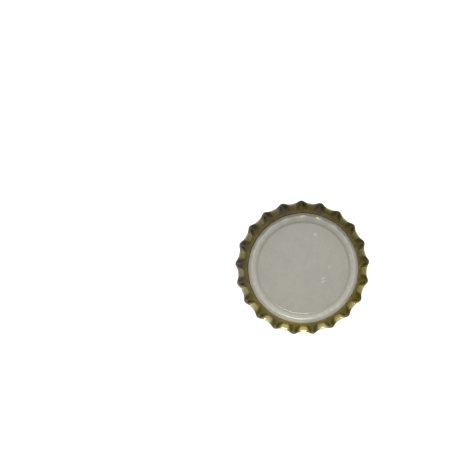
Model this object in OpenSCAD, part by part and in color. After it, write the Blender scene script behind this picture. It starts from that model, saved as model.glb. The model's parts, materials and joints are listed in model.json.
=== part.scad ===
// Bottle cap: a drawn tinplate shell with a fluted, flaring skirt, and the moulded liner seated in it.
// It lies face down: the panel's outer face is on z = 0 with its centre at the origin, and the mouth
// opens towards +Z. One tooth points along +X. All sizes are in millimetres.

/* [Shell] */
// Diameter across the tips of the teeth
crown_d = 32.1; // [31.6:0.1:33]
// Height from the panel's outer face to the edge of the skirt
crown_h = 6; // [5.6:0.1:6.8]
// Inside diameter of the mouth, which goes over the bottle's lip
mouth_d = 26.75; // [26.6:0.05:27.2]
// Thickness of the tinplate
sheet_t = 0.24; // [0.2:0.01:0.3]
// Outside radius of the bend from the panel to the skirt
shoulder_r = 1.75; // [1.5:0.05:2]
// Height of the straight band between the bend and the flare
band_h = 0.5; // [0.4:0.05:0.8]

/* [Teeth] */
// Number of teeth round the skirt
tooth_count = 21; // [18:1:24]
// Diameter across the valleys between the teeth, outside
valley_d = 30.8; // [30.2:0.1:31.2]
// How far the tips of the teeth stop short of the skirt's edge in the valleys
tip_lift = 0.3; // [0:0.05:0.5]
// How narrow the crests are: the share of a second wave of half the length
crest_sharpness = 0.24; // [0:0.01:0.25]
// How late the valleys flare: the power of the height that they follow
valley_power = 4.4; // [3:0.1:5]
// How late the crests flare: the power of the height that they follow
crest_power = 1.4; // [1.2:0.05:1.8]

/* [Liner] */
// Gap between the liner's lip, where it ends on the bend, and the wall of the mouth
lip_gap = 0.175; // [0.125:0.025:0.5]
// Thickness of the flat web
web_t = 0.3; // [0.2:0.05:0.5]
// How far inside the mouth's wall the middle of the step from the web up to the land lies
step_inset = 2.225; // [2:0.025:3.3]
// Width of the step's slope
step_w = 0.8; // [0.4:0.05:1]
// Height of the land above the web
step_h = 0.3; // [0.1:0.01:0.4]
// How far inside the mouth's wall the crest of the sealing bead lies
bead_inset = 0.95; // [0.8:0.025:1.2]
// Width of the bead's inner slope
bead_w = 1.15; // [0.6:0.05:1.4]
// Height of the bead above the web
bead_h = 0.65; // [0.5:0.05:0.9]
// Thickness of the lip at the liner's edge, measured upwards
lip_t = 0.2; // [0.05:0.01:0.3]

/* [Hidden] */

// How much thinner each face of the fluted sheet is drawn than the band it grows from
draw_thinning = 0.01;
// How deep the fluted skirt is rooted in the band
root_depth = 0.25;
// Straight stretch of the skirt between the band and the flare
seam_h = 0.05;
// Columns of facets to each tooth, and rows of facets up the flare
columns_per_tooth = 12;
flare_rows = 7;
// Steps in which the liner's top goes from the web out to the lip
top_steps = 24;
// Facets of the preview's round surfaces
round_facets = 252;

// Radii and heights of the drawn cup
mouth_r = mouth_d / 2;
band_r = mouth_r + sheet_t;
band_top_z = shoulder_r + band_h;

// The skirt's outer skin, from the straight band up to its edge
skirt_t = sheet_t - 2 * draw_thinning;
skirt_r = band_r - draw_thinning;
foot_z = band_top_z + seam_h;
crest_reach = crown_d / 2 - skirt_r;
valley_reach = valley_d / 2 - skirt_r;
// Lean of the valleys at their edge, and the height that the sheet's thickness takes up there
edge_lean = atan2(valley_power * valley_reach, crown_h - foot_z);
valley_edge_z = crown_h - skirt_t * sin(edge_lean);

column_count = tooth_count * columns_per_tooth;
row_count = flare_rows + 2;

// Radii of the liner's lip, its bead's crest, its step's foot and its flat web
liner_r = mouth_r - lip_gap;
bead_r = mouth_r - bead_inset;
step_r = mouth_r - step_inset - step_w / 2;
web_r = min(step_r, bead_r - bead_w);
// Heights of the liner's web, land, bead and lip
web_z = sheet_t + web_t;
land_z = web_z + step_h;
bead_z = web_z + bead_h;
lip_z = bend_floor_z(liner_r) + lip_t;

// Height of the bend's inner face at radius r
function bend_floor_z(r) =
    let (inner_r = shoulder_r - sheet_t, centre_r = mouth_r - inner_r)
    shoulder_r - sqrt(pow(inner_r, 2) - pow(r - centre_r, 2));

// Section of a round-cornered cup's inside, up to height top: r is its radius, floor_z its floor
module cup_section(r, corner_r, floor_z, top) {
    translate([0, floor_z]) square([r - corner_r, top - floor_z]);
    translate([0, floor_z + corner_r]) square([r, top - floor_z - corner_r]);
    translate([r - corner_r, floor_z + corner_r]) circle(corner_r, $fn = round_facets);
}

// Section of the hollow inside the panel, bend and band, which the liner fills from below
module hollow_section(top) {
    cup_section(mouth_r, shoulder_r - sheet_t, sheet_t, top);
}

// Panel, bend and straight band in one revolved piece
module drawn_cup() {
    rotate_extrude($fn = round_facets)
        difference() {
            cup_section(band_r, shoulder_r, 0, band_top_z);
            hollow_section(crown_h);
        }
}

// How far a tooth has risen at angle a: 1 at a tip, 0 in a valley
function wave(a) =
    (1 - crest_sharpness + cos(tooth_count * a) + crest_sharpness * cos(2 * tooth_count * a)) / 2;

// Change of the wave with the angle, for each radian
function wave_slope(a) =
    -tooth_count * (sin(tooth_count * a) + 2 * crest_sharpness * sin(2 * tooth_count * a)) / 2;

// Share of the flare's height at a row: the root and the foot are both at 0
function row_share(row) = max(0, (row - 1) / flare_rows);

// How far the valleys and the crests have flared at share s of the flare's height
function valley_flare(s) = valley_reach * pow(s, valley_power);
function crest_flare(s) = crest_reach * pow(s, crest_power);

// Radius of the outer skin at angle a and share s: the wave blends the valleys' flare into the crests'
function skin_radius(a, s) =
    skirt_r + (1 - wave(a)) * valley_flare(s) + wave(a) * crest_flare(s);

// Height of the flare at angle a, from its foot to its edge
function flare_height(a) = valley_edge_z - tip_lift * wave(a) - foot_z;

// Outward normal of the outer skin, as its radial, sideways and upward parts
function skin_normal(a, s) =
    let (
        along = (1 - wave(a)) * valley_reach * valley_power * pow(s, valley_power - 1)
            + wave(a) * crest_reach * crest_power * pow(s, crest_power - 1),
        across = wave_slope(a) * (crest_flare(s) - valley_flare(s)),
        rise = flare_height(a),
        dip = -tip_lift * wave_slope(a) * s,
        r = skin_radius(a, s),
        n = [r * rise, dip * along - across * rise, -r * along]
    )
    n / norm(n);

// Point of the skirt at angle a and a row, sunk below the outer skin by depth
function skirt_point(a, row, depth) =
    let (
        s = row_share(row),
        n = skin_normal(a, s),
        r = skin_radius(a, s) - depth * n[0],
        sideways = -depth * n[1],
        z = row == 0 ? band_top_z - root_depth : foot_z + s * flare_height(a) - depth * n[2]
    )
    [r * cos(a) - sideways * sin(a), r * sin(a) + sideways * cos(a), z];

// Loop of points round the sheet at angle a: up its outer face and down its inner face
function wall_loop(a) = [
    for (row = [0 : row_count - 1]) skirt_point(a, row, 0),
    for (row = [row_count - 1 : -1 : 0]) skirt_point(a, row, skirt_t)
];

// Fluted skirt: the wall's loop carried round the axis, closed on itself
module fluted_skirt() {
    loop_size = 2 * row_count;
    points = [
        for (column = [0 : column_count - 1])
            each wall_loop(column * 360 / column_count)
    ];
    faces = [
        for (column = [0 : column_count - 1], k = [0 : loop_size - 1])
            let (
                here = column * loop_size,
                next = (column + 1) % column_count * loop_size,
                above = (k + 1) % loop_size
            )
            each [
                [here + k, here + above, next + above],
                [here + k, next + above, next + k]
            ]
    ];
    polyhedron(points, faces);
}

module shell() {
    color([0.56, 0.5, 0.28])
        union() {
            drawn_cup();
            fluted_skirt();
        }
}

// Height gained at a share of a slope that is level at both ends, as half a cosine wave from 0 to 1
function eased(share) = (1 - cos(180 * max(0, min(1, share)))) / 2;

// Height of the liner's top at radius r: the web, the step up to the land, the bead and the lip
function liner_top_z(r) =
    web_z
    + step_h * eased((r - step_r) / step_w)
    + (bead_z - land_z) * eased((r - bead_r) / bead_w + 1)
    + (lip_z - bead_z) * eased((r - bead_r) / (liner_r - bead_r));

// Section under the liner's top, down through the panel
module under_top_section() {
    polygon([
        [0, 0],
        [0, web_z],
        for (i = [0 : top_steps])
            let (r = web_r + (liner_r - web_r) * i / top_steps)
            [r, liner_top_z(r)],
        [liner_r, 0]
    ]);
}

module liner() {
    color([0.7, 0.69, 0.64])
        rotate_extrude($fn = round_facets)
            intersection() {
                hollow_section(crown_h);
                under_top_section();
            }
}

shell();
liner();
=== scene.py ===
"""Dresses the bottle cap: its fluted, lacquered shell and the liner moulded into it.

The cap lies face down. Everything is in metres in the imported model's own frame: +Z up out of the
mouth, one tooth along +X.
"""

import json
import logging
import math
from dataclasses import dataclass
from enum import Enum
from typing import Any, Sequence, Union

import bpy
import numpy as np
from mathutils import Matrix, Vector


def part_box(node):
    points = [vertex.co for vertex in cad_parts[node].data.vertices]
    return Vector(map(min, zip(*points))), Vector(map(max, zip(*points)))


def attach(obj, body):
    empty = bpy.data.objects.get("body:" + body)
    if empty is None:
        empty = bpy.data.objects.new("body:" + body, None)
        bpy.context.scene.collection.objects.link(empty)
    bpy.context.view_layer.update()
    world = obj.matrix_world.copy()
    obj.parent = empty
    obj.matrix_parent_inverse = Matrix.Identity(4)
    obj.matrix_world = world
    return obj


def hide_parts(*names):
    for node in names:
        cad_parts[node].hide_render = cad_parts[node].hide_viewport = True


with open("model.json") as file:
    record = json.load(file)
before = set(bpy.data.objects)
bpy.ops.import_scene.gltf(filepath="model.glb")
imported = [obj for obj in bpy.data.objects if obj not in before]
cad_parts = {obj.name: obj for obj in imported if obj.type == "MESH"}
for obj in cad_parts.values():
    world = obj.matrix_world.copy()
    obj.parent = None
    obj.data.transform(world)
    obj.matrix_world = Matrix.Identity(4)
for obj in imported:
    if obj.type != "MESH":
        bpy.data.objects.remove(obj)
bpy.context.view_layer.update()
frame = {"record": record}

MM = 1e-3
TURN = 2 * math.pi

Colour = tuple[float, float, float]
Place = tuple[float, float, float]
Span = tuple[float, float]

logging.basicConfig(level=logging.INFO, format="%(message)s")
log = logging.getLogger("cap")


# Meshes


class Trait(Enum):
    """What a mesh tells its material at each point, by the attribute's name."""

    RISE = "rise"
    WAVE = "wave"
    BODY_AND_LIP_SHADE = "body"
    RAISED = "raised"


def mesh_between_poles(
    name: str,
    rings: np.ndarray,
    first_pole: np.ndarray,
    last_pole: np.ndarray,
) -> bpy.types.Mesh:
    """Makes a closed, smooth mesh from rings of points, with a fan of triangles at each end.

    Point j of ring i joins point j + 1, the ring's last point joins its first, and ring i joins
    ring i + 1. Each quad is taken in the order (i, j), (i, j + 1), (i + 1, j + 1), (i + 1, j).

    Args:
        name: The mesh's name.
        rings: Points of shape (rings, columns, 3), in metres.
        first_pole: The point inside the first ring.
        last_pole: The point inside the last ring.

    Returns:
        The mesh, whose faces follow the rings: first fan, quads ring by ring, last fan.
    """
    ring_count, columns = rings.shape[:2]
    points = np.concatenate([first_pole[None], rings.reshape(-1, 3), last_pole[None]])
    index = 1 + np.arange(ring_count * columns).reshape(ring_count, columns)
    beside = np.roll(index, -1, axis=1)
    quads = np.stack([index[:-1], beside[:-1], beside[1:], index[1:]], axis=-1)
    first_fan = np.stack([np.zeros(columns, int), beside[0], index[0]], axis=-1)
    last = len(points) - 1
    last_fan = np.stack([np.full(columns, last), index[-1], beside[-1]], axis=-1)
    corners = np.concatenate([first_fan.ravel(), quads.ravel(), last_fan.ravel()])
    fan_totals = np.full(columns, 3)
    quad_totals = np.full((ring_count - 1) * columns, 4)
    totals = np.concatenate([fan_totals, quad_totals, fan_totals])
    starts = np.concatenate([[0], np.cumsum(totals)[:-1]])
    mesh = bpy.data.meshes.new(name)
    mesh.vertices.add(len(points))
    mesh.vertices.foreach_set("co", points.astype(np.float32).ravel())
    mesh.loops.add(len(corners))
    mesh.loops.foreach_set("vertex_index", corners.astype(np.int32))
    mesh.polygons.add(len(totals))
    mesh.polygons.foreach_set("loop_start", starts.astype(np.int32))
    mesh.polygons.foreach_set("use_smooth", np.ones(len(totals), bool))
    mesh.update(calc_edges=True)
    mesh.validate()
    return mesh


def store(mesh: bpy.types.Mesh, trait: Trait, values: np.ndarray) -> None:
    """Keeps a number at each point of the mesh for its material, and 0 at both poles.

    Args:
        mesh: A mesh between poles.
        trait: What the number tells.
        values: The numbers of the rings' points, in order.
    """
    attribute = mesh.attributes.new(trait.value, "FLOAT", "POINT")
    attribute.data.foreach_set("value", np.pad(values.astype(np.float32).ravel(), 1))


def show(mesh: bpy.types.Mesh, finishes: Sequence[bpy.types.Material]) -> bpy.types.Object:
    """Puts a mesh in the scene as an object of its own name, at the origin.

    Args:
        mesh: The mesh, whose faces are numbered by their finish.
        finishes: The materials, in the order of those numbers.

    Returns:
        The object.
    """
    for finish in finishes:
        mesh.materials.append(finish)
    piece = bpy.data.objects.new(mesh.name, mesh)
    bpy.context.scene.collection.objects.link(piece)
    return piece


def eased(share: np.ndarray) -> np.ndarray:
    """Half a cosine wave from 0 to 1 as share goes from 0 to 1, level at both ends and beyond."""
    return (1 - np.cos(np.pi * np.clip(share, 0, 1))) / 2


# Shader maths

Number = Union[float, "Value"]


class Ray(Enum):
    """The kinds of light path that the stage tells apart, by the node's output."""

    CAMERA = "Is Camera Ray"
    DIFFUSE = "Is Diffuse Ray"
    GLOSSY = "Is Glossy Ray"
    CLEAR = "Is Transmission Ray"


@dataclass(frozen=True)
class Noise:
    """A soft random pattern from 0 to 1, so many waves to the metre, with finer layers in it.

    It is finer along an axis that is stretched more.
    """

    scale: float
    detail: float
    stretch: Place = (1.0, 1.0, 1.0)


@dataclass(frozen=True)
class Patches:
    """Patches with soft edges: nothing where the noise is below the span, full above it."""

    noise: Noise
    span: Span


@dataclass(frozen=True)
class Relief:
    """How far a bump rises, in metres for a height of 1, and how strongly it shows."""

    distance: float
    strength: float


class Value:
    """A number's socket that takes Python's arithmetic: each operator adds one Math node."""

    def __init__(self, nodes: "NodeKit", socket: bpy.types.NodeSocket) -> None:
        self.nodes = nodes
        self.socket = socket

    def __add__(self, other: Number) -> "Value":
        """Sum."""
        return self.nodes.maths("ADD", self, other)

    def __radd__(self, other: Number) -> "Value":
        """Sum, from a plain number."""
        return self.nodes.maths("ADD", other, self)

    def __sub__(self, other: Number) -> "Value":
        """Difference."""
        return self.nodes.maths("SUBTRACT", self, other)

    def __rsub__(self, other: Number) -> "Value":
        """Difference from a plain number."""
        return self.nodes.maths("SUBTRACT", other, self)

    def __mul__(self, other: Number) -> "Value":
        """Product."""
        return self.nodes.maths("MULTIPLY", self, other)

    def __rmul__(self, other: Number) -> "Value":
        """Product with a plain number."""
        return self.nodes.maths("MULTIPLY", other, self)

    def clamped(self) -> "Value":
        """Kept between 0 and 1."""
        return self.nodes.maths("MINIMUM", self.nodes.maths("MAXIMUM", self, 0.0), 1.0)

    def swing(self, width: float) -> "Value":
        """From minus to plus half of a width as the number goes from 0 to 1."""
        return width * (self - 0.5)


class NodeKit:
    """A node tree, and the few ways in which nodes are added to it."""

    MIX_SHARE = 0
    MIX_COLOURS = 6, 7
    MIX_RESULT = 2

    def __init__(self, tree: bpy.types.NodeTree) -> None:
        """Works on this tree, which starts bare."""
        self.tree = tree
        self.tree.nodes.clear()

    def node(self, kind: str, settings: dict[str, Any], inputs: dict[Any, Any]) -> bpy.types.Node:
        """Makes any node.

        Args:
            kind: The node's type.
            settings: Its own properties, set first.
            inputs: For each socket, by name or number, a value, a socket or a Value to link.

        Returns:
            The node.
        """
        made = self.tree.nodes.new(kind)
        for key, value in settings.items():
            setattr(made, key, value)
        self.fill(made, inputs)
        return made

    def fill(self, made: bpy.types.Node, inputs: dict[Any, Any]) -> None:
        """Sets or links sockets of a node.

        Args:
            made: The node.
            inputs: For each socket, by name or number, a value, a socket or a Value to link.
        """
        for key, value in inputs.items():
            if isinstance(value, Value):
                value = value.socket
            if isinstance(value, bpy.types.NodeSocket):
                self.tree.links.new(value, made.inputs[key])
            else:
                made.inputs[key].default_value = value

    def number(
        self, kind: str, settings: dict[str, Any], inputs: dict[Any, Any], out: Any = 0
    ) -> Value:
        """The wrapped output, by its number or name, of a node of this kind."""
        return Value(self, self.node(kind, settings, inputs).outputs[out])

    def maths(self, operation: str, first: Number, second: Number) -> Value:
        """One Math node of this operation on two values or numbers."""
        return self.number("ShaderNodeMath", {"operation": operation}, {0: first, 1: second})

    def dot(self, first: Any, second: Any) -> Value:
        """The dot product of two vectors, which are sockets or plain places."""
        settings = {"operation": "DOT_PRODUCT"}
        return self.number("ShaderNodeVectorMath", settings, {0: first, 1: second}, out="Value")

    def between(self, value: Value, span: Span) -> Value:
        """0 below the span, 1 above it and smooth between its ends.

        Args:
            value: What is held against the span.
            span: Its low and its high end.

        Returns:
            The smoothed step.
        """
        low, high = span
        inputs = {"Value": value, "From Min": low, "From Max": high}
        return self.number("ShaderNodeMapRange", {"interpolation_type": "SMOOTHSTEP"}, inputs)

    def blend(self, share: Number, first: Any, second: Any) -> bpy.types.NodeSocket:
        """Mixes two colours.

        Args:
            share: How far the mix has gone from the first colour to the second, from 0 to 1.
            first: A Colour or a colour's socket.
            second: A Colour or a colour's socket.

        Returns:
            The mixed colour's socket.
        """
        inputs = {self.MIX_SHARE: share}
        for key, colour in zip(self.MIX_COLOURS, (first, second)):
            inputs[key] = (*colour, 1.0) if isinstance(colour, tuple) else colour
        return self.node("ShaderNodeMix", {"data_type": "RGBA"}, inputs).outputs[self.MIX_RESULT]

    def ray(self, kind: Ray) -> Value:
        """1 where the light path is of this kind, and 0 elsewhere."""
        return self.number("ShaderNodeLightPath", {}, {}, out=kind.value)


class Paint(NodeKit):
    """One material under way: a Principled shader, and the patterns that finishes are made of."""

    def __init__(self, name: str) -> None:
        """Starts a material.

        Args:
            name: The material's name.
        """
        self.material = bpy.data.materials.new(name)
        self.material.use_nodes = True
        super().__init__(self.material.node_tree)
        self.shader = self.node("ShaderNodeBsdfPrincipled", {}, {})
        self.node("ShaderNodeOutputMaterial", {}, {"Surface": self.shader.outputs[0]})
        self.place = self.node("ShaderNodeTexCoord", {}, {}).outputs["Object"]

    def noise(self, noise: Noise) -> Value:
        """Lays a noise pattern through the piece.

        Args:
            noise: The pattern.

        Returns:
            Its value at each place, from 0 to 1.
        """
        stretched = {"Vector": self.place, "Scale": noise.stretch}
        where = self.node("ShaderNodeMapping", {}, stretched).outputs[0]
        inputs = {"Vector": where, "Scale": noise.scale, "Detail": noise.detail}
        return self.number("ShaderNodeTexNoise", {}, inputs)

    def patches(self, patches: Patches) -> Value:
        """Lays soft patches through the piece, 0 outside them and 1 inside."""
        return self.between(self.noise(patches.noise), patches.span)

    def trait(self, trait: Trait) -> Value:
        """What the piece's mesh tells at each point."""
        return self.number("ShaderNodeAttribute", {"attribute_name": trait.value}, {}, out="Fac")

    def bump(self, height: Value, relief: Relief, under: Any = None) -> bpy.types.NodeSocket:
        """Makes a normal that follows a height.

        Args:
            height: The height, in shares of the relief's distance.
            relief: How far and how strongly it rises.
            under: The normal that it lies over, or None for the mesh's own.

        Returns:
            The normal's socket.
        """
        inputs = {"Height": height, "Distance": relief.distance, "Strength": relief.strength}
        if under is not None:
            inputs["Normal"] = under
        return self.node("ShaderNodeBump", {}, inputs).outputs[0]

    def finish(self, **inputs: Any) -> bpy.types.Material:
        """Fills the shader's sockets.

        Args:
            **inputs: Values or links by the socket's name, with _ for a space.

        Returns:
            The finished material.
        """
        named = {key.replace("_", " "): value for key, value in inputs.items()}
        if isinstance(named["Base Color"], tuple):
            named["Base Color"] = (*named["Base Color"], 1.0)
        self.fill(self.shader, named)
        return self.material


# Finishes


@dataclass(frozen=True)
class GoldLacquer:
    """Clear gold lacquer over bright tinplate, as inside the shell.

    The spans of rise and wave say where on the flare a colour sets in: rise goes from 0 at the
    foot of the flare to 1 at its edge, wave from 0 in a valley to 1 on a crest, and trough is
    1 - wave. A share says how much of a colour is laid on there.
    """

    full: Colour = (0.38, 0.296, 0.07)
    # painted highlight: the valleys' paler colour, palest at the edge, stands in for the light they
    # reflect
    thin_web_and_valley_sheen: Colour = (0.435, 0.37, 0.108)
    valley_rim_sheen: Colour = (0.535, 0.478, 0.215)
    # painted shade: the dark colour at the crests' tips
    shaded_tip: Colour = (0.12, 0.10, 0.08)
    # random browning, and painted shade towards one side
    brown_and_shade: Colour = (0.215, 0.185, 0.20)
    olive: Colour = (0.285, 0.29, 0.035)
    # painted shade: the darker colour of the crests' flanks
    flank_shade: Colour = (0.195, 0.175, 0.015)
    fleck: Colour = (0.10, 0.075, 0.02)
    edge_tint: Colour = (0.75, 0.66, 0.34)
    sheen_rise: Span = (0.35, 0.9)
    sheen_trough: Span = (0.7, 0.95)
    sheen_rim_rise: Span = (0.87, 0.97)
    flank_rise: Span = (0.35, 0.75)
    flank_wave: Span = (0.03, 0.2)
    flank_trough: Span = (0.05, 0.4)
    flank_shade_share: float = 0.9
    tip_rise: Span = (0.9, 1.0)
    tip_wave: Span = (0.5, 0.9)
    tip_shade_share: float = 0.25
    green: Patches = Patches(Noise(260.0, 2.0), (0.4, 0.65))
    green_share: float = 0.6
    clouds: Patches = Patches(Noise(180.0, 3.0), (0.35, 0.7))
    cloud_share: float = 0.45
    brown_share: float = 0.22
    shade_side: Place = (-31.0, 54.0, 0.0)
    shade_side_share: float = 0.3
    brown_lost_sheen: float = 0.5
    flecks: Patches = Patches(Noise(2600.0, 2.0), (0.45, 0.75))
    fleck_share: float = 0.5
    fleck_lost_sheen: float = 0.6
    roughness: float = 0.3
    cloud_roughness: float = 0.08
    grain: Noise = Noise(4000.0, 2.0, (1.0, 0.04, 1.0))
    grain_roughness: float = 0.05
    grain_relief: Relief = Relief(0.004 * MM, 0.5)
    peel: Noise = Noise(1500.0, 1.0)
    peel_relief: Relief = Relief(0.01 * MM, 0.6)
    coat: float = 0.3
    coat_roughness: float = 0.2

    def lacquer(self, p: Paint, painted_light: Value) -> bpy.types.NodeSocket:
        """Colours the lacquer by where it lies on the flare.

        It is painted paler in the upper valleys and palest at the edge there as a painted highlight,
        green in patches elsewhere, and painted darker as painted shade on the crests' flanks and
        darkest at their tips.

        Args:
            p: The material under way.
            painted_light: Where the valleys are painted paler as a painted highlight, from 0 to 1.

        Returns:
            The colour's socket.
        """
        rise, wave = p.trait(Trait.RISE), p.trait(Trait.WAVE)
        # painted highlight in the upper valleys, palest at the edge
        at_sheen_rim = p.between(rise, self.sheen_rim_rise) * painted_light
        greened = self.green_share * p.patches(self.green) * (1 - painted_light)
        # painted shade on the crests' flanks
        on_flank = p.between(wave, self.flank_wave) * p.between(1 - wave, self.flank_trough)
        shaded_flank = self.flank_shade_share * (on_flank * p.between(rise, self.flank_rise))
        # painted shade at the crests' tips
        shaded_at_tip = self.tip_shade_share * p.between(rise, self.tip_rise) * p.between(wave, self.tip_wave)
        colour = p.blend(at_sheen_rim, p.blend(painted_light, self.full, self.thin_web_and_valley_sheen), self.valley_rim_sheen)
        colour = p.blend(greened, colour, self.olive)
        colour = p.blend(shaded_flank, colour, self.flank_shade)
        return p.blend(shaded_at_tip, colour, self.shaded_tip)

    def material(self, name: str) -> bpy.types.Material:
        """Painted valley highlight, browner clouds and flecks over grained sheet.

        It browns in clouds, and towards one side it is painted browner as painted shade: how far a
        point lies to that side is the dot product of its place and shade_side, from -1 to 1.

        Args:
            name: The material's name.

        Returns:
            The material.
        """
        p = Paint(name)
        # painted highlight: where the upper valleys are painted paler
        painted_light = p.between(p.trait(Trait.RISE), self.sheen_rise)
        painted_light = painted_light * p.between(1 - p.trait(Trait.WAVE), self.sheen_trough)
        clouds = p.patches(self.clouds)
        # painted shade: browner towards one side
        toward_shade_side = self.shade_side_share * p.dot(p.place, self.shade_side)
        browned_and_shaded = self.cloud_share * clouds + self.brown_share + toward_shade_side
        browned_and_shaded = (browned_and_shaded * (1 - self.brown_lost_sheen * painted_light)).clamped()
        flecked = self.fleck_share * p.patches(self.flecks) * (1 - self.fleck_lost_sheen * painted_light)
        colour = p.blend(browned_and_shaded, self.lacquer(p, painted_light), self.brown_and_shade)
        grain = p.noise(self.grain)
        uneven = clouds.swing(self.cloud_roughness)
        peeled = p.bump(p.noise(self.peel), self.peel_relief)
        return p.finish(
            Base_Color=p.blend(flecked, colour, self.fleck),
            Metallic=1.0,
            Roughness=self.roughness + uneven + grain.swing(self.grain_roughness),
            Normal=p.bump(grain, self.grain_relief, peeled),
            Specular_Tint=(*self.edge_tint, 1.0),
            Coat_Weight=self.coat,
            Coat_Roughness=self.coat_roughness,
        )


@dataclass(frozen=True)
class WhiteLacquer:
    """White roller-coated lacquer, as on the shell's outside."""

    colour: Colour = (0.80, 0.80, 0.78)
    shade: Colour = (0.72, 0.72, 0.70)
    mottle: Patches = Patches(Noise(220.0, 4.0), (0.4, 0.75))
    mottle_share: float = 0.5
    rub: Patches = Patches(Noise(900.0, 3.0), (0.45, 0.65))
    rub_share: float = 0.5
    rubbed_crest: Span = (0.7, 1.0)
    roughness: float = 0.28
    mottle_roughness: float = 0.1
    rub_roughness: float = 0.15
    peel: Noise = Noise(1300.0, 1.0)
    peel_relief: Relief = Relief(0.01 * MM, 0.6)
    coat: float = 0.5
    coat_roughness: float = 0.08

    def material(self, name: str) -> bpy.types.Material:
        """White with faint mottling, orange peel and a little grey where the crests rub.

        Args:
            name: The material's name.

        Returns:
            The material.
        """
        p = Paint(name)
        mottle = p.patches(self.mottle)
        crest = p.trait(Trait.RISE) * p.trait(Trait.WAVE)
        rubbed = p.between(crest, self.rubbed_crest) * p.patches(self.rub)
        greyed = (self.mottle_share * mottle + self.rub_share * rubbed).clamped()
        rougher = self.mottle_roughness * mottle + self.rub_roughness * rubbed
        return p.finish(
            Base_Color=p.blend(greyed, self.colour, self.shade),
            Metallic=0.0,
            Roughness=self.roughness + rougher,
            Normal=p.bump(p.noise(self.peel), self.peel_relief),
            Coat_Weight=self.coat,
            Coat_Roughness=self.coat_roughness,
        )


@dataclass(frozen=True)
class CutSteel:
    """The bare sheared edge of the tinplate."""

    colour: Colour = (0.20, 0.17, 0.10)
    # painted shade: the darker colour towards the crests' tips
    shaded_tip: Colour = (0.08, 0.07, 0.045)
    dull: Colour = (0.10, 0.08, 0.05)
    dulled: Patches = Patches(Noise(1200.0, 3.0), (0.4, 0.7))
    roughness: float = 0.38
    dull_roughness: float = 0.2
    shear: Noise = Noise(9000.0, 1.0, (1.0, 1.0, 0.1))
    shear_relief: Relief = Relief(0.006 * MM, 0.5)

    def material(self, name: str) -> bpy.types.Material:
        """Steel, painted darker towards the crests' tips as painted shade, with dull patches and the
        fine marks of the shear.

        Args:
            name: The material's name.

        Returns:
            The material.
        """
        p = Paint(name)
        dulled = p.patches(self.dulled)
        # painted shade: darker towards the crests' tips
        steel = p.blend(p.trait(Trait.WAVE), self.colour, self.shaded_tip)
        return p.finish(
            Base_Color=p.blend(dulled, steel, self.dull),
            Metallic=1.0,
            Roughness=self.roughness + self.dull_roughness * dulled,
            Normal=p.bump(p.noise(self.shear), self.shear_relief),
        )


@dataclass(frozen=True)
class Compound:
    """The moulded grey sealing compound of the liner.

    A height is how much a pattern adds to the surface's bump, next to the clouds' 1.
    """

    thin_web_and_valley_sheen: Colour = (0.313, 0.3, 0.251)
    full: Colour = (0.41, 0.399, 0.341)
    shade: Colour = (0.255, 0.247, 0.215)
    pale: Colour = (0.55, 0.54, 0.48)
    full_body: Span = (0.14, 0.74)
    cloud: Noise = Noise(260.0, 4.0)
    cloud_span: Span = (0.3, 0.7)
    cloud_share: float = 0.3
    smudges: Patches = Patches(Noise(900.0, 3.0), (0.4, 0.7))
    smudge_share: float = 0.25
    smudge_height: float = 0.2
    flow: Patches = Patches(Noise(1000.0, 2.0), (0.5, 0.75))
    flow_share: float = 0.5
    # painted highlight: how pale the raised marks are painted
    mark_highlight_share: float = 0.6
    lumps: Noise = Noise(420.0, 2.0)
    lump_height: float = 2.0
    surface_relief: Relief = Relief(0.02 * MM, 0.5)
    pits: Patches = Patches(Noise(2600.0, 2.0), (0.62, 0.8))
    pit_relief: Relief = Relief(0.004 * MM, 0.4)
    roughness: float = 0.24
    cloud_roughness: float = 0.12
    pit_roughness: float = 0.1
    coat: float = 1.0
    coat_roughness: float = 0.11

    def material(self, name: str) -> bpy.types.Material:
        """Darker and cloudy where the web has little body, with pale flow marks where it is full.

        The raised marks are painted pale as a painted highlight, and the whole surface is finely
        pitted.

        Args:
            name: The material's name.

        Returns:
            The material.
        """
        p = Paint(name)
        # the body trait is lower on the lip, which is painted shade there
        full = p.between(p.trait(Trait.BODY_AND_LIP_SHADE), self.full_body)
        cloud, smudges, pits = p.noise(self.cloud), p.patches(self.smudges), p.patches(self.pits)
        shaded = self.cloud_share * p.between(cloud, self.cloud_span) + self.smudge_share * smudges
        flow = self.flow_share * p.patches(self.flow) * full
        # pale flow marks, and the raised marks painted pale as a painted highlight
        paled_and_lit = (flow + self.mark_highlight_share * p.trait(Trait.RAISED)).clamped()
        colour = p.blend(shaded * (1 - full), p.blend(full, self.thin_web_and_valley_sheen, self.full), self.shade)
        lumps = p.noise(self.lumps) * full
        surface = cloud + smudges * self.smudge_height + lumps * self.lump_height
        uneven = cloud.swing(self.cloud_roughness)
        return p.finish(
            Base_Color=p.blend(paled_and_lit, colour, self.pale),
            Metallic=0.0,
            Roughness=self.roughness + uneven + self.pit_roughness * pits,
            Normal=p.bump(1 - pits, self.pit_relief, p.bump(surface, self.surface_relief)),
            Coat_Weight=self.coat,
            Coat_Roughness=self.coat_roughness,
        )


# Pieces


class Side(Enum):
    """The faces of the shell's sheet, numbered as its material slots."""

    OUTSIDE = 0
    EDGE = 1
    INSIDE = 2


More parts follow.
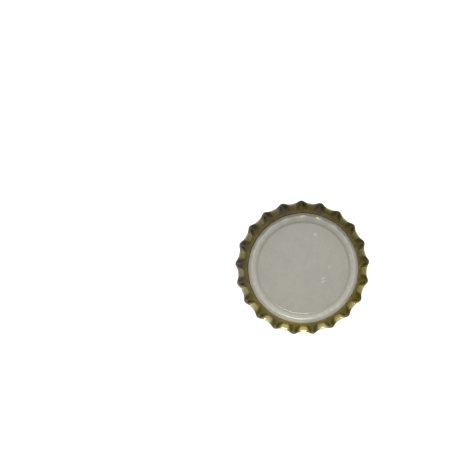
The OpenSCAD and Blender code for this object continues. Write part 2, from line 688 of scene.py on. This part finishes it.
@dataclass(frozen=True)
class CrownShell:
    """The drawn tinplate shell: panel, bend, straight band and a fluted, flaring skirt.

    Lengths are in metres, and crown_d, crown_h and mouth_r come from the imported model. tip_lift is
    how far the tips stop short of the skirt's edge, crest_sharpness is the share of a second wave
    of half the length, a power says how late the valleys or the crests flare, and edge_bulge is
    the height of the round cut edge next to half of the sheet's thickness.
    """

    crown_d: float
    crown_h: float
    mouth_r: float
    sheet_t: float = 0.24 * MM
    shoulder_r: float = 1.75 * MM
    band_h: float = 0.55 * MM
    tooth_count: int = 21
    valley_d: float = 30.8 * MM
    tip_lift: float = 0.3 * MM
    crest_sharpness: float = 0.24
    valley_power: float = 4.4
    crest_power: float = 1.4
    edge_bulge: float = 0.5
    columns_per_tooth: int = 28
    panel_rings: int = 5
    bend_rings: int = 12
    band_rings: int = 2
    flare_rings: int = 30
    edge_rings: int = 5
    inside: GoldLacquer = GoldLacquer()
    outside: WhiteLacquer = WhiteLacquer()
    edge: CutSteel = CutSteel()

    @property
    def band_r(self) -> float:
        """Outside radius of the straight band."""
        return self.mouth_r + self.sheet_t

    @property
    def foot_z(self) -> float:
        """Height at which the flare begins."""
        return self.shoulder_r + self.band_h

    @property
    def bend_centre(self) -> tuple[float, float]:
        """Radius and height of the middle of the bend's arc."""
        return self.band_r - self.shoulder_r, self.shoulder_r

    def angles(self) -> np.ndarray:
        """The angle of each column of points, in radians, with one on each crest and valley."""
        count = self.tooth_count * self.columns_per_tooth
        return np.arange(count) * TURN / count

    def wave(self, angle: np.ndarray) -> np.ndarray:
        """Rise of a tooth at an angle a, up to 1: half of 1 - k + cos(n a) + k cos(2 n a)."""
        k, n = self.crest_sharpness, self.tooth_count
        return (1 - k + np.cos(n * angle) + k * np.cos(2 * n * angle)) / 2

    def wave_slope(self, angle: np.ndarray) -> np.ndarray:
        """Change of the wave for each radian: half of -n (sin(n a) + 2 k sin(2 n a))."""
        k, n = self.crest_sharpness, self.tooth_count
        return -n * (np.sin(n * angle) + 2 * k * np.sin(2 * n * angle)) / 2

    def flare(self) -> tuple[np.ndarray, np.ndarray, np.ndarray]:
        """Works out the outer skin of the flare, on a grid of height share s by angle a.

        The radius is r0 + (1 - w) V s^p + w C s^q, where w is the wave and V and C are the reach
        of the valleys and of the crests, and the height is z0 + s (h - t w), where t is the tip
        lift. The normal is the cross product of the two derivatives.

        Returns:
            Points, outward unit normals and unit tangents up the flare, each of shape
            (rings, columns, 3), as radius, sideways and height.
        """
        a = self.angles()[None, :]
        s = np.linspace(0, 1, self.flare_rings)[:, None]
        p, q = self.valley_power, self.crest_power
        wave, slope = self.wave(a), self.wave_slope(a)
        valley, crest = self.valley_d / 2 - self.band_r, self.crown_d / 2 - self.band_r
        lean = math.atan2(p * valley, self.crown_h - self.foot_z)
        height = self.crown_h - self.sheet_t * math.sin(lean) - self.foot_z
        spread = crest * s**q - valley * s**p
        r = self.band_r + valley * s**p + wave * spread
        z = self.foot_z + s * (height - self.tip_lift * wave)
        along = (1 - wave) * valley * p * s ** (p - 1) + wave * crest * q * s ** (q - 1)
        up = height - self.tip_lift * wave
        across = slope * spread
        dip = -self.tip_lift * slope * s
        normal = np.stack([r * up, dip * along - across * up, -r * along], axis=-1)
        normal /= np.linalg.norm(normal, axis=-1, keepdims=True)
        level = np.zeros_like(along)
        tangent = np.stack([along, level, up + level], axis=-1)
        tangent /= np.linalg.norm(tangent, axis=-1, keepdims=True)
        points = np.stack([r, level, z], axis=-1)
        return points, normal, tangent

    def cup(self) -> tuple[np.ndarray, np.ndarray]:
        """Works out the outer skin of panel, bend and band, the same at every angle.

        The panel is flat, the bend is a quarter of a circle about the bend's centre, and the band
        is upright.

        Returns:
            Points and outward unit normals of shape (rings, 1, 3), as radius, sideways and height.
        """
        centre_r, centre_z = self.bend_centre
        panel_r = np.linspace(0, centre_r, self.panel_rings + 1)[1:]
        turn = np.linspace(0, math.pi / 2, self.bend_rings + 1)[1:]
        band_z = np.linspace(centre_z, self.foot_z, self.band_rings + 1)[1:-1]
        flat, upright = np.zeros_like(panel_r), np.ones_like(band_z)
        bend_r, bend_z = self.shoulder_r * np.sin(turn), self.shoulder_r * np.cos(turn)
        r = np.concatenate([panel_r, centre_r + bend_r, self.band_r * upright])
        z = np.concatenate([flat, centre_z - bend_z, band_z])
        normal_r = np.concatenate([flat, np.sin(turn), upright])
        normal_z = np.concatenate([flat - 1, -np.cos(turn), 0 * upright])
        points = np.stack([r, 0 * r, z], axis=-1)[:, None]
        normals = np.stack([normal_r, 0 * r, normal_z], axis=-1)[:, None]
        return points, normals

    def round_the_axis(self, rings: np.ndarray) -> np.ndarray:
        """Turns each column of points to its angle.

        Args:
            rings: Points of shape (rings, columns, 3), as radius, sideways and height.

        Returns:
            The points as x, y and z.
        """
        a = self.angles()[None, :]
        x = rings[..., 0] * np.cos(a) - rings[..., 1] * np.sin(a)
        y = rings[..., 0] * np.sin(a) + rings[..., 1] * np.cos(a)
        return np.stack([x, y, rings[..., 2]], axis=-1)

    def mesh(self, name: str) -> bpy.types.Mesh:
        """Carries the sheet's section round the axis: up its outside, over the edge, down inside.

        The inner skin is the outer skin less the normal times the sheet's thickness. The cut edge
        is half an ellipse across the sheet.

        Args:
            name: The mesh's name.

        Returns:
            The closed mesh, its faces numbered by Side. It tells its rise, 0 below the flare and 1
            at the edge, and its wave.
        """
        columns = len(self.angles())
        cup_points, cup_normals = (np.repeat(grid, columns, axis=1) for grid in self.cup())
        flare_points, flare_normals, tangents = self.flare()
        outer = np.concatenate([cup_points, flare_points])
        normals = np.concatenate([cup_normals, flare_normals])
        inner = outer - self.sheet_t * normals
        half = self.sheet_t / 2
        over = np.linspace(0, math.pi, self.edge_rings + 2)[1:-1, None, None]
        bulge = self.edge_bulge * np.sin(over) * tangents[-1]
        edge = outer[-1] - half * normals[-1] + half * (np.cos(over) * normals[-1] + bulge)
        rings = self.round_the_axis(np.concatenate([outer, edge, inner[::-1]]))
        mesh = mesh_between_poles(name, rings, np.zeros(3), np.array([0.0, 0.0, self.sheet_t]))
        edge_start = columns * len(outer)
        edge_end = edge_start + columns * (self.edge_rings + 1)
        sides = np.full(len(mesh.polygons), Side.INSIDE.value, np.int32)
        sides[:edge_start] = Side.OUTSIDE.value
        sides[edge_start:edge_end] = Side.EDGE.value
        mesh.polygons.foreach_set("material_index", sides)
        skin_rise = np.concatenate(
            [np.zeros(len(cup_points)), np.linspace(0, 1, self.flare_rings)]
        )
        rise = np.concatenate([skin_rise, np.ones(self.edge_rings), skin_rise[::-1]])
        store(mesh, Trait.RISE, np.repeat(rise, columns))
        store(mesh, Trait.WAVE, np.tile(self.wave(self.angles()), len(rise)))
        return mesh

    def bend_floor(self, radius: np.ndarray) -> np.ndarray:
        """Works out the height of the inner face on the panel and the bend.

        It is level on the panel and a quarter of a circle past it.

        Args:
            radius: Distances from the axis.

        Returns:
            The height at each of them.
        """
        centre_r, centre_z = self.bend_centre
        inner_r = self.shoulder_r - self.sheet_t
        reach = np.clip(radius - centre_r, 0, inner_r)
        return centre_z - np.sqrt(inner_r**2 - reach**2)

    def make(self) -> bpy.types.Object:
        """Builds the shell and dresses its three sides.

        Returns:
            The piece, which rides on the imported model's one body.
        """
        finishes = {
            Side.OUTSIDE: self.outside.material("white_lacquer"),
            Side.EDGE: self.edge.material("cut_edge"),
            Side.INSIDE: self.inside.material("gold_lacquer"),
        }
        piece = show(self.mesh("drawn_shell"), [finishes[side] for side in Side])
        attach(piece, "root")
        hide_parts("shell")
        return piece


@dataclass(frozen=True)
class Mark:
    """A small raised mark that the moulding punch left on the web, placed by radius and angle.

    Its height follows a bell curve across its width, and it is as long as length along its own
    bearing.
    """

    radius: float
    angle_deg: float
    height: float
    width: float
    length: float = 0.0
    bearing_deg: float = 0.0

    def relief(self, x: np.ndarray, y: np.ndarray) -> np.ndarray:
        """Works out the mark's height: h exp(-(d / w)^2), d being the distance from its line.

        Args:
            x: Places along +X.
            y: Places along +Y, in the same shape.

        Returns:
            The height that the mark adds at each place.
        """
        a, b = math.radians(self.angle_deg), math.radians(self.bearing_deg)
        dx, dy = x - self.radius * math.cos(a), y - self.radius * math.sin(a)
        along = dx * math.cos(b) + dy * math.sin(b)
        across = dy * math.cos(b) - dx * math.sin(b)
        beyond = np.maximum(np.abs(along) - self.length / 2, 0)
        return self.height * np.exp(-(beyond**2 + across**2) / self.width**2)


@dataclass(frozen=True)
class MouldedLiner:
    """The sealing compound moulded into the shell: web, step, land, bead and lip.

    Lengths are in metres. lip_gap, step_inset and bead_inset are measured inwards from the mouth's
    wall. lip_shading is how much less body than the bead the lip is given, which colours the lip
    darker next to the wall as painted shade, and full_mark is the height of a raised mark at which
    it is painted at its palest, as a painted highlight.
    """

    shell: CrownShell
    lip_gap: float = 0.175 * MM
    web_t: float = 0.3 * MM
    step_inset: float = 2.225 * MM
    step_w: float = 0.8 * MM
    step_h: float = 0.3 * MM
    bead_inset: float = 1.0 * MM
    bead_w: float = 1.15 * MM
    bead_h: float = 0.7 * MM
    lip_t: float = 0.04 * MM
    # painted shade: how much darker the lip is coloured next to the wall
    lip_shading: float = 0.36
    full_mark: float = 0.06 * MM
    columns: int = 480
    web_rings: int = 90
    ring_rings: int = 70
    seat_rings: int = 16
    marks: tuple[Mark, ...] = (
        Mark(radius=8.63 * MM, angle_deg=65.3, height=0.05 * MM, width=0.34 * MM),
        Mark(
            radius=5.41 * MM, angle_deg=-31.9, height=0.045 * MM,
            width=0.18 * MM, length=0.7 * MM, bearing_deg=10.0,
        ),
        Mark(
            radius=5.71 * MM, angle_deg=-39.6, height=0.05 * MM,
            width=0.18 * MM, length=0.7 * MM, bearing_deg=12.0,
        ),
        Mark(radius=6.35 * MM, angle_deg=-2.8, height=0.02 * MM, width=0.4 * MM),
    )
    compound: Compound = Compound()

    @property
    def liner_r(self) -> float:
        """Radius of the lip, where the liner ends on the bend."""
        return self.shell.mouth_r - self.lip_gap

    @property
    def bead_r(self) -> float:
        """Radius of the bead's crest."""
        return self.shell.mouth_r - self.bead_inset

    @property
    def step_r(self) -> float:
        """Radius of the middle of the step from the web up to the land."""
        return self.shell.mouth_r - self.step_inset

    @property
    def web_z(self) -> float:
        """Height of the flat web's top."""
        return self.shell.sheet_t + self.web_t

    def to_lip(self, radius: np.ndarray) -> np.ndarray:
        """How far a radius has gone from the bead's crest, 0, to the lip, 1, eased at both."""
        return eased((radius - self.bead_r) / (self.liner_r - self.bead_r))

    def top(self, radius: np.ndarray) -> np.ndarray:
        """Works out the height of the liner's top.

        Half cosine waves join the web, the land, the bead's crest and the lip, level at each.

        Args:
            radius: Distances from the axis.

        Returns:
            The height at each of them.
        """
        land_z, bead_z = self.web_z + self.step_h, self.web_z + self.bead_h
        lip_z = self.shell.bend_floor(np.array(self.liner_r)) + self.lip_t
        step = (land_z - self.web_z) * eased((radius - self.step_r) / self.step_w + 0.5)
        bead = (bead_z - land_z) * eased((radius - self.bead_r) / self.bead_w + 1)
        return self.web_z + step + bead + (lip_z - bead_z) * self.to_lip(radius)

    def mesh(self, name: str) -> bpy.types.Mesh:
        """Turns the liner's section round the axis and raises the marks on its web.

        Args:
            name: The mesh's name.

        Returns:
            The closed mesh, from the middle of its underside out to the lip and back over its top.
            It tells its body, 0 on the web, 1 on the bead's crest and less on the lip, where the
            drop is painted shade, and how far the marks are raised.
        """
        angle = np.arange(self.columns) * TURN / self.columns
        web_r = self.step_r - self.step_w
        seat_r = np.linspace(0, self.liner_r, self.seat_rings + 1)[1:]
        ring_r = np.linspace(self.liner_r, web_r, self.ring_rings + 1)[:-1]
        flat_r = np.linspace(web_r, 0, self.web_rings + 1)[:-1]
        top_r = np.concatenate([ring_r, flat_r])
        radius = np.concatenate([seat_r, top_r])
        x, y = radius[:, None] * np.cos(angle), radius[:, None] * np.sin(angle)
        height = np.concatenate([self.shell.bend_floor(seat_r), self.top(top_r)])
        z = np.repeat(height[:, None], self.columns, axis=1)
        raised = sum(mark.relief(x, y) for mark in self.marks)
        z[len(seat_r) :] += raised[len(seat_r) :]
        first = np.array([0.0, 0.0, self.shell.sheet_t])
        last = np.array([0.0, 0.0, self.web_z])
        mesh = mesh_between_poles(name, np.stack([x, y, z], axis=-1), first, last)
        # painted shade: the lip is given less body, so it is coloured darker next to the wall
        painted_light = 1 - self.lip_shading * self.to_lip(radius)
        body = (self.top(radius) - self.web_z) / self.bead_h * painted_light
        store(mesh, Trait.BODY_AND_LIP_SHADE, np.repeat(body, self.columns))
        store(mesh, Trait.RAISED, raised / self.full_mark)
        return mesh

    def make(self) -> bpy.types.Object:
        """Builds and dresses the liner.

        Returns:
            The piece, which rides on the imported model's one body.
        """
        piece = show(self.mesh("moulded_liner"), [self.compound.material("liner_compound")])
        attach(piece, "root")
        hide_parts("liner")
        return piece


# Stage, lights and camera


@dataclass(frozen=True)
class Viewpoint:
    """Where the cap stands in a square picture, and how far the camera leans off the vertical.

    A picture's bearing is anticlockwise from its right. The camera is far off, so its picture is
    almost parallel, and it is moved sideways, not turned or shifted, to put the cap off the
    picture's middle.
    """

    picture_px: float = 452.0
    cap_centre_px: tuple[float, float] = (302.2, 267.4)
    cap_radius_px: float = 67.1
    tooth_bearing_deg: float = 5.15
    lean_deg: float = 3.5
    lean_bearing_deg: float = -38.7
    lens_mm: float = 400.0
    sensor_mm: float = 36.0

    def to_model(self, bearing_deg: float, elevation_deg: float) -> Vector:
        """Finds the model's direction for a direction of the picture.

        Args:
            bearing_deg: Its bearing in the picture.
            elevation_deg: How far it rises above the floor.

        Returns:
            The direction, of length 1.
        """
        turn = math.radians(bearing_deg - self.tooth_bearing_deg)
        rise = math.radians(elevation_deg)
        level = math.cos(rise)
        return Vector((math.cos(turn) * level, math.sin(turn) * level, math.sin(rise)))

    def place_camera(self, cap_radius: float, cap_middle: Vector) -> None:
        """Makes the scene's camera so that the cap has its size and place in the picture.

        The camera's distance is the width that the picture covers, times the lens over the sensor.

        Args:
            cap_radius: Radius over the tips of the teeth, in metres.
            cap_middle: The point in the middle of the mouth.
        """
        px_per_m = self.cap_radius_px / cap_radius
        distance = self.picture_px / px_per_m * self.lens_mm / self.sensor_mm
        right_m = (self.cap_centre_px[0] - self.picture_px / 2) / px_per_m
        down_m = (self.cap_centre_px[1] - self.picture_px / 2) / px_per_m
        right, up = self.to_model(0, 0), self.to_model(90, 0)
        level = Matrix((right, up, Vector((0, 0, 1)))).transposed()
        from_cap = Vector((-right_m, down_m, distance))
        sight = self.to_model(self.lean_bearing_deg, 90 - self.lean_deg)
        turned = (level @ from_cap).rotation_difference(sight).to_matrix() @ level
        data = bpy.data.cameras.new("camera")
        data.lens, data.sensor_width = self.lens_mm, self.sensor_mm
        camera = bpy.data.objects.new("camera", data)
        camera.matrix_world = turned.to_4x4()
        camera.location = cap_middle + turned @ from_cap
        bpy.context.scene.collection.objects.link(camera)
        bpy.context.scene.camera = camera


@dataclass(frozen=True)
class Softbox:
    """A plain rectangular lamp that faces the cap from a bearing of the picture."""

    name: str
    bearing_deg: float
    elevation_deg: float
    distance: float
    width: float
    height: float
    watts: float

    def make(self, view: Viewpoint) -> None:
        """Hangs the lamp and turns it towards the origin.

        Args:
            view: What the bearing is measured in.
        """
        data = bpy.data.lights.new(self.name, "AREA")
        data.shape = "RECTANGLE"
        data.size, data.size_y = self.width, self.height
        data.energy = self.watts
        lamp = bpy.data.objects.new(self.name, data)
        away = view.to_model(self.bearing_deg, self.elevation_deg)
        lamp.location = away * self.distance
        lamp.rotation_euler = away.to_track_quat("Z", "Y").to_euler()
        bpy.context.scene.collection.objects.link(lamp)


@dataclass(frozen=True)
class Wall:
    """How light the room's walls are in reflections: brightest on one bearing of the picture."""

    bearing_deg: float
    side_light: float
    swing: float

    def light(self, p: NodeKit, view: Viewpoint, direction: bpy.types.NodeSocket) -> Value:
        """Works out the wall's light, which is at most 1.

        It is the side light plus the swing times the cosine of the angle between the direction
        and the brightest bearing.

        Args:
            p: The room's nodes.
            view: What the bearing is measured in.
            direction: The direction that is looked in.

        Returns:
            The light.
        """
        towards = p.dot(direction, view.to_model(self.bearing_deg, 0))
        return p.maths("MINIMUM", self.side_light + self.swing * towards, 1.0)


def heights(elevations_deg: Span) -> Span:
    """The heights at two elevations on a sphere of radius 1."""
    low, high = elevations_deg
    return math.sin(math.radians(low)), math.sin(math.radians(high))


@dataclass(frozen=True)
class Studio:
    """A wide white floor and a pale room, with soft lamps.

    The joins are the elevations between which the low wall passes into the wall above it, and that
    into the ceiling.
    """

    view: Viewpoint
    floor_size: float = 6.0
    floor_z: float = -0.02 * MM
    floor_colour: Colour = (0.45, 0.45, 0.45)
    floor_roughness: float = 0.8
    floor_specular: float = 0.1
    floor_glow: float = 0.72
    room_light: float = 0.54
    low_wall: Wall = Wall(bearing_deg=52, side_light=0.48, swing=0.29)
    wall: Wall = Wall(bearing_deg=70, side_light=0.505, swing=0.36)
    wall_join_deg: Span = (2.0, 12.0)
    ceiling_join_deg: Span = (30.0, 50.0)
    ceiling_light: float = 0.10
    lamps: tuple[Softbox, ...] = (
        Softbox(
            name="key", bearing_deg=86, elevation_deg=60,
            distance=0.6, width=0.17, height=0.10, watts=0.95,
        ),
        Softbox(
            name="top", bearing_deg=92, elevation_deg=82,
            distance=0.8, width=1.1, height=1.5, watts=4.8,
        ),
        Softbox(
            name="strip", bearing_deg=84, elevation_deg=16,
            distance=0.5, width=0.5, height=0.24, watts=0.11,
        ),
    )

    def make_floor(self) -> None:
        """Makes the floor, a flat square of pale paint just under the cap.

        It glows for the camera and in reflections, so that it looks white there and keeps the
        cap's shadow. It is clear from below and to light between plain surfaces, so that the
        cap's underside is seen and lit by the room.
        """
        half, z = self.floor_size / 2, self.floor_z
        corners = [(-half, -half, z), (half, -half, z), (half, half, z), (-half, half, z)]
        mesh = bpy.data.meshes.new("floor")
        mesh.from_pydata(corners, [], [(0, 1, 2, 3)])
        p = Paint("floor")
        seen = (p.ray(Ray.CAMERA) + p.ray(Ray.GLOSSY)).clamped()
        behind = p.number("ShaderNodeNewGeometry", {}, {}, out="Backfacing")
        material = p.finish(
            Base_Color=self.floor_colour,
            Roughness=self.floor_roughness,
            Specular_IOR_Level=self.floor_specular,
            Emission_Color=p.blend(seen, (0.0, 0.0, 0.0), (1.0, 1.0, 1.0)),
            Emission_Strength=self.floor_glow,
            Alpha=1 - p.maths("MAXIMUM", behind, p.ray(Ray.DIFFUSE)),
        )
        floor = show(mesh, [material])

    def make_room(self) -> None:
        """Makes the room, which is white to the camera and through glass.

        Plain surfaces get an even fill from it, and mirrors see pale walls and a dim ceiling.
        """
        world = bpy.data.worlds.new("room")
        world.use_nodes = True
        p = NodeKit(world.node_tree)
        direction = p.node("ShaderNodeTexCoord", {}, {}).outputs["Generated"]
        height = p.number("ShaderNodeSeparateXYZ", {}, {0: direction}, out="Z")
        low_wall = self.low_wall.light(p, self.view, direction)
        upper_wall = self.wall.light(p, self.view, direction)
        to_upper = p.between(height, heights(self.wall_join_deg))
        to_ceiling = p.between(height, heights(self.ceiling_join_deg))
        wall = low_wall + to_upper * (upper_wall - low_wall)
        reflected = wall + to_ceiling * (self.ceiling_light - wall)
        light = self.room_light + p.ray(Ray.GLOSSY) * (reflected - self.room_light)
        seen = p.maths("MAXIMUM", p.ray(Ray.CAMERA), p.ray(Ray.CLEAR))
        shown = {"Color": (1.0, 1.0, 1.0, 1.0), "Strength": light + seen * (1 - light)}
        background = p.node("ShaderNodeBackground", {}, shown)
        p.node("ShaderNodeOutputWorld", {}, {"Surface": background.outputs[0]})
        bpy.context.scene.world = world

    def make(self) -> None:
        """Makes the floor, the room and the lamps, and sets the plain view transform."""
        self.make_floor()
        self.make_room()
        for lamp in self.lamps:
            lamp.make(self.view)
        bpy.context.scene.view_settings.view_transform = "Standard"


# The cap


@dataclass(frozen=True)
class BottleCap:
    """The whole cap: its shell, and the liner that is seated in it."""

    shell: CrownShell
    liner: MouldedLiner

    @classmethod
    def from_frame(cls, record: dict[str, Any]) -> "BottleCap":
        """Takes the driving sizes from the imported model's box and its mouth.

        Args:
            record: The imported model's record.

        Returns:
            The cap, not yet made.
        """
        low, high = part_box("shell")
        mouth = next(m for m in record["mounts"] if m["name"] == "mouth")
        shell = CrownShell(
            crown_d=2 * high.x, crown_h=high.z - low.z, mouth_r=mouth["dims"]["r_mm"] * MM
        )
        return cls(shell, MouldedLiner(shell))

    def make(self) -> list[bpy.types.Object]:
        """Makes both pieces, in the order in which they are put together."""
        return [self.shell.make(), self.liner.make()]


def main() -> None:
    """Builds the cap and the studio, and reports each piece."""
    cap = BottleCap.from_frame(frame["record"])
    for piece in cap.make():
        log.info("%s: %d faces", piece.name, len(piece.data.polygons))
    view = Viewpoint()
    view.place_camera(cap.shell.crown_d / 2, Vector((0, 0, cap.shell.crown_h)))
    Studio(view).make()


if __name__ == "__main__":
    main()
